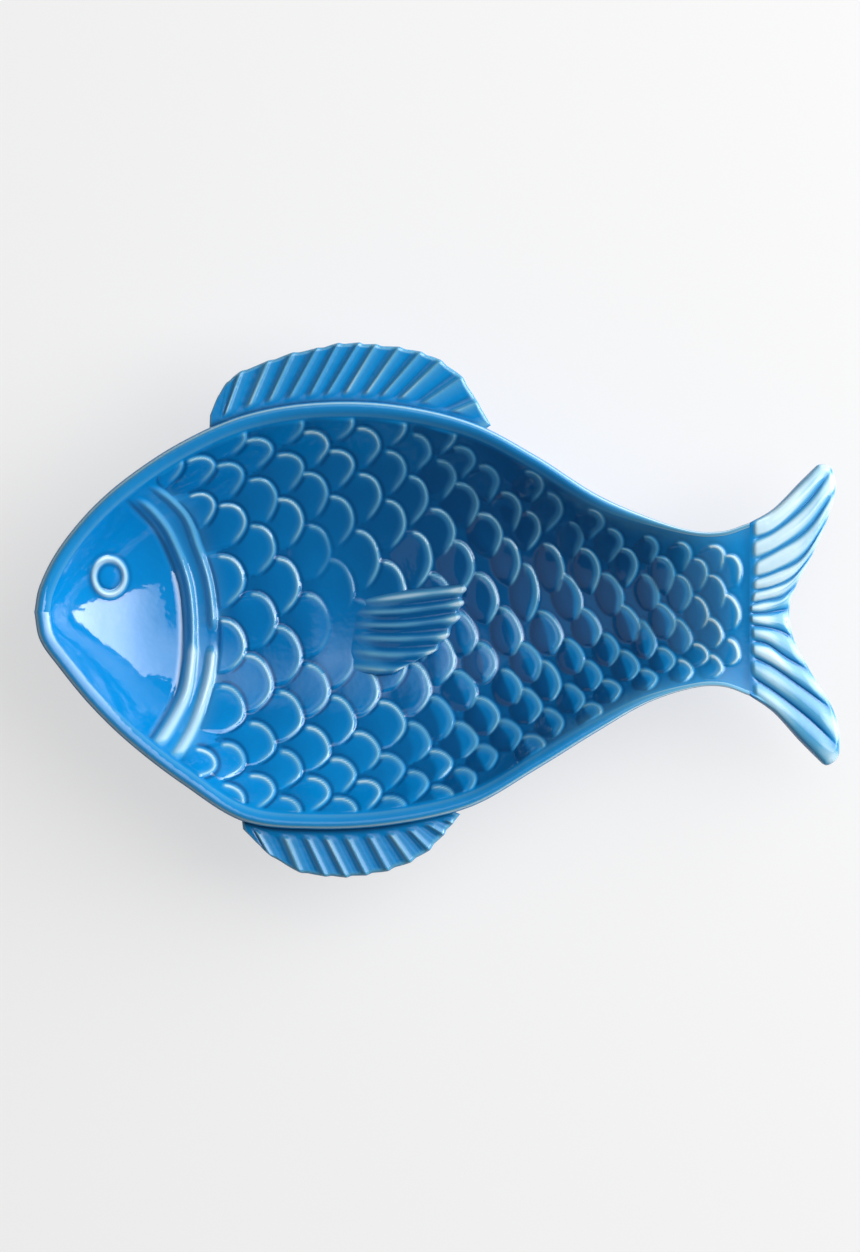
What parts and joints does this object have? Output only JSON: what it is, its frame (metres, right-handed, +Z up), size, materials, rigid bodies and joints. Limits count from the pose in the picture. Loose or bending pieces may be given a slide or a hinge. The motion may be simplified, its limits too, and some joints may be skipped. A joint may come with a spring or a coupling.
{
  "type": "fish-shaped serving dish",
  "caption": "Deep glazed stoneware serving dish shaped as a whole fish, with a scaled well, raised fins, a rolled rim and an unglazed oval foot ring.",
  "frame": {"origin": "on the table, at the middle of the dish's outline box in plan", "axes": "+X from the nose to the tail, +Y towards the dorsal fin, +Z up out of the well"},
  "size_m": [0.3, 0.1994, 0.045],
  "materials": {
    "blue_glaze": "gloss",
    "bare_clay": "matte"
  },
  "bodies": {
    "root": {"bowl": "blue_glaze", "rim": "blue_glaze", "foot_ring": "bare_clay", "eye_ring": "blue_glaze", "eye_dome": "blue_glaze", "gill_front": "blue_glaze", "gill_rear": "blue_glaze", "scales": "blue_glaze", "pectoral_fin": "blue_glaze", "dorsal_fin": "blue_glaze", "ventral_fin": "blue_glaze", "tail_fin": "blue_glaze"}
  },
  "joints": []
}
